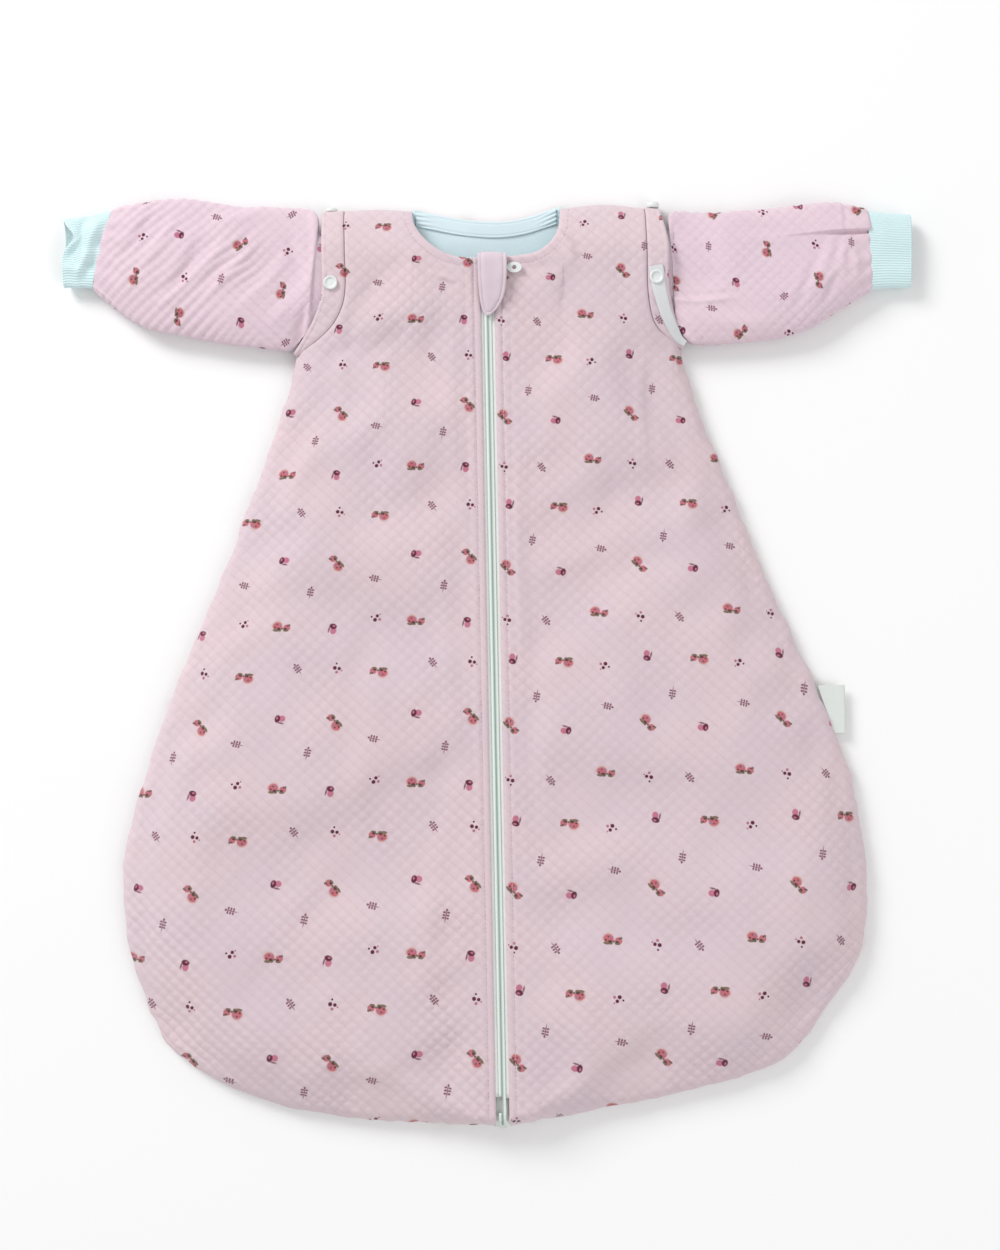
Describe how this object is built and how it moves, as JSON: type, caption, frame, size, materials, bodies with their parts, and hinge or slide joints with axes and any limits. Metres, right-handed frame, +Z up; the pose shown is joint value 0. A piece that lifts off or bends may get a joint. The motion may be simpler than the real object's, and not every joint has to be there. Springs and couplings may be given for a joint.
{
  "type": "baby sleeping bag",
  "caption": "Quilted pink baby sleeping bag lying flat: centre front zip with chin guard, long snap-off sleeves with mint rib cuffs, white mint lining.",
  "frame": {"origin": "on the resting surface under the back, on the line of the zip at mid length of the bag", "axes": "+X to the right of someone looking down at the bag, +Y from hem to head along the zip, +Z up from the resting surface"},
  "size_m": [0.6465, 0.7095, 0.0338],
  "materials": {
    "pink_quilt": "matte quilted jersey",
    "mint_lining": "matte jersey",
    "mint_rib": "matte rib knit",
    "wadding": "matte fibre fill",
    "plain_pink_jersey": "matte jersey",
    "white_tape": "matte woven tape",
    "zip_coil": "satin coil",
    "white_resin": "satin moulded"
  },
  "bodies": {
    "bag": {"back_shell": "pink_quilt", "back_wadding": "wadding", "back_lining": "mint_lining", "back_neck_band": "mint_lining", "front_right_shell": "pink_quilt", "front_right_wadding": "wadding", "front_right_lining": "mint_lining", "front_left_shell": "pink_quilt", "front_left_wadding": "wadding", "front_left_lining": "mint_lining", "left_armhole_band_front": "pink_quilt", "left_armhole_band_back": "pink_quilt", "right_armhole_band_front": "pink_quilt", "right_armhole_band_back": "pink_quilt", "zip_tape_right": "white_tape", "zip_coil_right": "zip_coil", "zip_coil_left_end": "zip_coil", "zip_top_stop_right": "white_resin", "zip_bottom_stop": "white_resin", "left_snap_cap_front": "white_resin", "left_snap_cap_back": "white_resin", "left_snap_cap_shoulder": "white_resin", "right_snap_cap_front": "white_resin", "right_snap_cap_back": "white_resin", "right_snap_cap_shoulder": "white_resin", "side_label": "white_tape"},
    "front_left_flap": {"front_left_flap_shell": "pink_quilt", "front_left_flap_wadding": "wadding", "front_left_flap_lining": "mint_lining", "zip_tape_left": "white_tape", "zip_coil_left": "zip_coil", "zip_top_stop_left": "white_resin"},
    "chin_guard": {"chin_guard": "plain_pink_jersey"},
    "zip_slider": {"zip_slider_body": "white_resin"},
    "zip_puller": {"zip_puller": "white_resin"},
    "left_sleeve": {"left_sleeve_shell": "pink_quilt", "left_sleeve_wadding": "wadding", "left_sleeve_lining": "mint_lining", "left_sleeve_snap_tape": "white_tape", "left_sleeve_cuff": "mint_rib", "left_snap_stud_front": "white_resin", "left_snap_stud_back": "white_resin", "left_snap_stud_shoulder": "white_resin"},
    "right_sleeve": {"right_sleeve_shell": "pink_quilt", "right_sleeve_wadding": "wadding", "right_sleeve_lining": "mint_lining", "right_sleeve_snap_tape": "white_tape", "right_sleeve_cuff": "mint_rib", "right_snap_stud_front": "white_resin", "right_snap_stud_back": "white_resin", "right_snap_stud_shoulder": "white_resin"}
  },
  "joints": [
    {"name": "zip_slide", "type": "slide", "parent": "bag", "child": "zip_slider", "axis": [0, -1, 0], "range_m": [0, 0.629]},
    {"name": "front_left_fold", "type": "hinge", "parent": "bag", "child": "front_left_flap", "pos_m": [-0.0565, 0.37, 0.0265], "axis": [0.0725, -0.9974, 0], "range_deg": [0, 150]},
    {"name": "guard_turn", "type": "hinge", "parent": "front_left_flap", "child": "chin_guard", "pos_m": [0, 0.3335, 0.0271], "axis": [-1, 0, 0], "range_deg": [0, 170]},
    {"name": "puller_lift", "type": "hinge", "parent": "zip_slider", "child": "zip_puller", "pos_m": [0, 0.3215, 0.0292], "axis": [0, -1, 0], "range_deg": [0, 85]},
    {"name": "left_sleeve_off", "type": "slide", "parent": "bag", "child": "left_sleeve", "axis": [-1, 0, 0], "range_m": [0, 0.3]},
    {"name": "right_sleeve_off", "type": "slide", "parent": "bag", "child": "right_sleeve", "axis": [1, 0, 0], "range_m": [0, 0.3]}
  ],
  "couplings": [
    {"joint": "front_left_fold", "follows": "zip_slide", "rad_per_m": 4.1622},
    {"joint": "puller_lift", "follows": "guard_turn", "ratio": 0.5}
  ]
}
